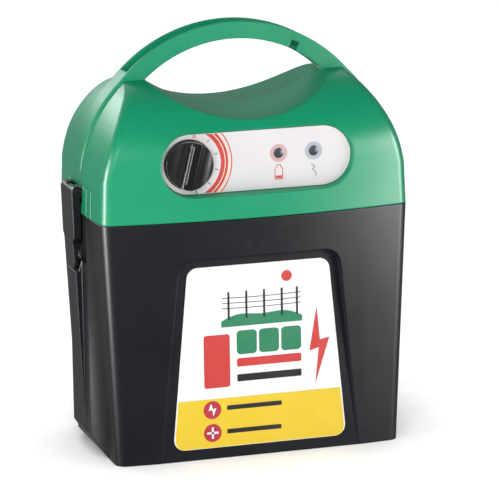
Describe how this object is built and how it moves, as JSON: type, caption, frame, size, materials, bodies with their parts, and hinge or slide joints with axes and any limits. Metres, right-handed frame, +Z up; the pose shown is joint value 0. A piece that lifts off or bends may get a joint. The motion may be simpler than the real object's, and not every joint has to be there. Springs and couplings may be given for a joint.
{
  "type": "fence energizer",
  "caption": "Portable battery electric-fence energizer: black battery box, green lid with carrying handle, rotary selector, indicator lights, side latches and rear terminals.",
  "frame": {"origin": "middle of the underside, where the box stands", "axes": "+X to the right seen from the front, +Y towards the back with the terminals, +Z up to the handle"},
  "size_m": [0.2612, 0.1809, 0.3245],
  "materials": {
    "black_case": "satin moulded, fine spark texture",
    "green_lid": "satin gloss moulded",
    "label_film": "printed film",
    "panel_film": "printed film",
    "battery_plastic": "moulded",
    "lead_post": "cast metal",
    "light_lens": "smoked lens",
    "switch_plastic": "moulded",
    "steel": "zinc plated",
    "board": "solder resist",
    "core_steel": "laminated steel",
    "winding": "taped winding",
    "capacitor_sleeve": "sleeve",
    "aluminium": "extruded",
    "red_cable": "insulated wire",
    "black_cable": "insulated wire",
    "red_plastic": "moulded",
    "green_plastic": "moulded",
    "knob_plastic": "gloss moulded",
    "latch_plastic": "moulded",
    "white_mark": "inlay",
    "cap_rubber": "moulded rubber"
  },
  "bodies": {
    "base": {"base_shell": "black_case", "front_label": "label_film", "battery_case": "battery_plastic", "battery_post_positive": "lead_post", "battery_post_negative": "lead_post"},
    "lid": {"lid_shell": "green_lid", "front_panel": "panel_film", "low_battery_light": "light_lens", "pulse_light": "light_lens", "rotary_switch": "switch_plastic", "latch_pin_right": "steel", "latch_pin_left": "steel", "inner_cover": "black_case", "cover_screws": "steel", "circuit_board": "board", "board_screws": "steel", "transformer_core": "core_steel", "transformer_winding": "winding", "storage_capacitor": "capacitor_sleeve", "capacitor_clip": "steel", "filter_capacitor": "capacitor_sleeve", "charging_coil": "winding", "heat_sink": "aluminium", "thyristor": "switch_plastic", "fence_stud": "steel", "fence_washer": "steel", "fence_nut": "steel", "earth_stud": "steel", "earth_washer": "steel", "earth_nut": "steel", "power_socket": "switch_plastic", "red_battery_wire": "red_cable", "black_battery_wire": "black_cable", "fence_wire": "red_cable", "earth_wire": "black_cable", "positive_connector": "red_plastic", "negative_connector": "knob_plastic"},
    "knob": {"selector_knob": "knob_plastic", "knob_pointer": "white_mark", "switch_shaft": "steel"},
    "left_latch": {"latch_left": "latch_plastic"},
    "right_latch": {"latch_right": "latch_plastic"},
    "fence_knob": {"fence_terminal_knob": "red_plastic"},
    "earth_knob": {"earth_terminal_knob": "green_plastic"},
    "cap": {"socket_cap": "cap_rubber"}
  },
  "joints": [
    {"name": "lid_lift", "type": "slide", "parent": "base", "child": "lid", "axis": [0, 0, 1], "range_m": [0, 0.12]},
    {"name": "selector_turn", "type": "hinge", "parent": "lid", "child": "knob", "pos_m": [-0.0532, -0.07, 0.2286], "axis": [0, 1, 0], "range_deg": [0, 150]},
    {"name": "left_latch_swing", "type": "hinge", "parent": "lid", "child": "left_latch", "pos_m": [-0.1258, 0, 0.2025], "axis": [0, 1, 0], "range_deg": [0, 90]},
    {"name": "right_latch_swing", "type": "hinge", "parent": "lid", "child": "right_latch", "pos_m": [0.1258, 0, 0.2025], "axis": [0, -1, 0], "range_deg": [0, 90]},
    {"name": "fence_knob_turn", "type": "hinge", "parent": "lid", "child": "fence_knob", "pos_m": [-0.046, 0.085, 0.2065], "axis": [0, 1, 0], "continuous": true},
    {"name": "earth_knob_turn", "type": "hinge", "parent": "lid", "child": "earth_knob", "pos_m": [0.046, 0.085, 0.2065], "axis": [0, 1, 0], "continuous": true},
    {"name": "socket_cap_swing", "type": "hinge", "parent": "lid", "child": "cap", "pos_m": [0, 0.081, 0.2211], "axis": [1, 0, 0], "range_deg": [0, 100]}
  ]
}
